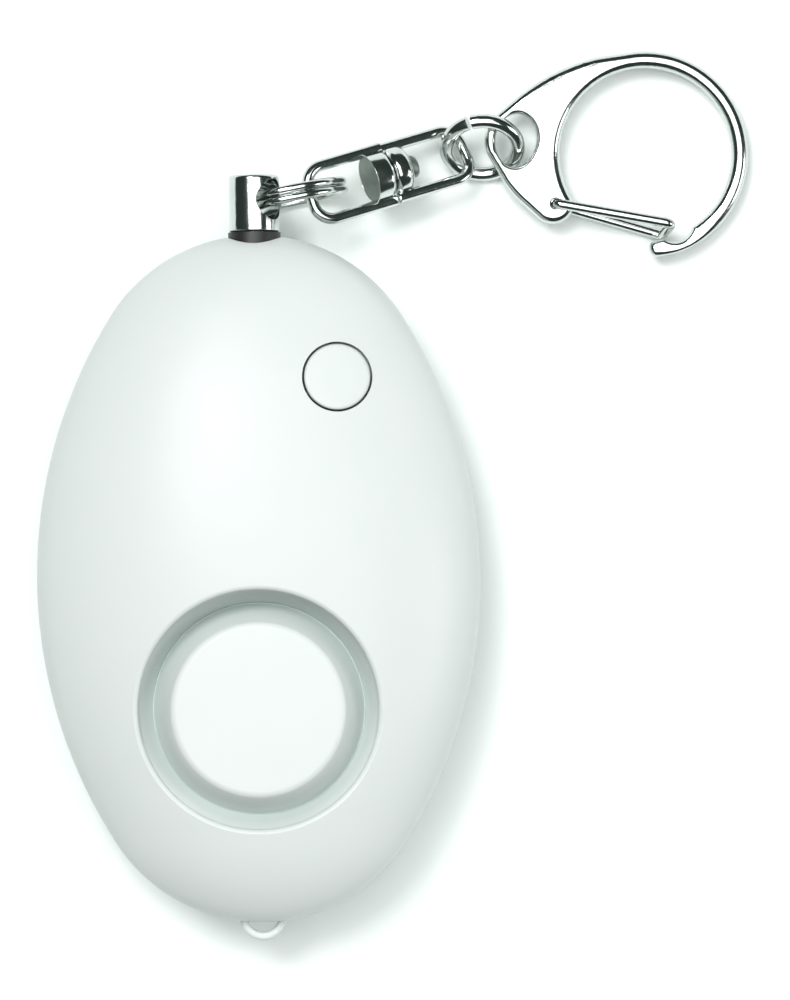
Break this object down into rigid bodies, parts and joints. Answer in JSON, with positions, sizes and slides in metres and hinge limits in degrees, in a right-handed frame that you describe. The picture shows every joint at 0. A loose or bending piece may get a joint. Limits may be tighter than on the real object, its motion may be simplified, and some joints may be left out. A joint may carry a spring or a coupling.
{
  "type": "personal safety alarm",
  "caption": "Egg-shaped white pocket alarm with a pull pin, a side button and a round sounder cap; the chrome pin carries a split ring, a swivel and a snap hook.",
  "frame": {"origin": "middle of the flat on the back that the case lies on", "axes": "+X to the right seen from the front, +Y along the case towards the pull pin, +Z out of the front face"},
  "size_m": [0.0629, 0.0776, 0.018],
  "materials": {
    "white_shell": "glossy white moulding",
    "white_cap": "glossy white moulding",
    "white_button": "glossy white moulding",
    "chrome": "bright plating",
    "rivet_steel": "dull flat head",
    "black_plastic": "moulded black",
    "grey_plastic": "moulded grey",
    "foam": "soft foam ring",
    "brass": "thin sheet",
    "ceramic": "silvered ceramic",
    "board": "solder mask",
    "copper": "wound wire",
    "cell_steel": "plated cans",
    "contact_steel": "plated sheet",
    "screw_steel": "plated",
    "lead_red": "insulated wire"
  },
  "bodies": {
    "housing": {"front_shell": "white_shell", "rear_shell": "white_shell", "sounder_cap": "white_cap", "sounder_gasket": "foam", "sounder_disc": "brass", "sounder_ceramic": "ceramic", "sounder_leads": "lead_red", "switch_base": "black_plastic", "circuit_board": "board", "driver_chip": "black_plastic", "step_up_coil": "copper", "button_cells": "cell_steel", "positive_contact": "contact_steel", "negative_contact": "contact_steel", "pin_socket": "black_plastic", "socket_contact": "brass", "case_screws": "screw_steel"},
    "button": {"push_button": "white_button", "switch_plunger": "grey_plastic"},
    "pin": {"pull_pin": "chrome"},
    "key_ring": {"split_ring": "chrome"},
    "swivel_inner": {"swivel_inner_eye": "chrome", "swivel_rivet": "rivet_steel"},
    "swivel_outer": {"swivel_outer_eye": "chrome"},
    "link_ring": {"jump_ring": "chrome"},
    "hook": {"snap_hook": "chrome"},
    "gate": {"hook_gate": "chrome"}
  },
  "joints": [
    {"name": "button_press", "type": "slide", "parent": "housing", "child": "button", "axis": [0, 0, -1], "range_m": [0, 0.0005], "stiffness_N_per_m": 2500},
    {"name": "pin_pull", "type": "slide", "parent": "housing", "child": "pin", "axis": [0, 1, 0], "range_m": [0, 0.014]},
    {"name": "ring_swing", "type": "hinge", "parent": "pin", "child": "key_ring", "pos_m": [0, 0.03305, 0.0084], "axis": [0.788, 0, 0.6157], "range_deg": [-10, 150]},
    {"name": "swivel_swing", "type": "hinge", "parent": "key_ring", "child": "swivel_inner", "pos_m": [0.00499, 0.03329, 0.00799], "axis": [-0.2924, 0.9563, 0], "range_deg": [-60, 12]},
    {"name": "swivel_spin", "type": "hinge", "parent": "swivel_inner", "child": "swivel_outer", "pos_m": [0.01176, 0.03536, 0.00535], "axis": [0.8957, 0.2739, -0.3502], "continuous": true},
    {"name": "link_swing", "type": "hinge", "parent": "swivel_outer", "child": "link_ring", "pos_m": [0.01852, 0.03743, 0.0027], "axis": [-0.3734, 0.891, -0.2582], "range_deg": [-8, 40]},
    {"name": "hook_swing", "type": "hinge", "parent": "link_ring", "child": "hook", "pos_m": [0.02008, 0.0377, 0.00295], "axis": [0, -0.7193, 0.6947], "range_deg": [-25, 45]},
    {"name": "gate_press", "type": "hinge", "parent": "hook", "child": "gate", "pos_m": [0.02644, 0.03268, 0.0027], "axis": [0.0604, -0.0091, 0.9981], "range_deg": [0, 35], "stiffness_Nm_per_rad": 0.02}
  ]
}
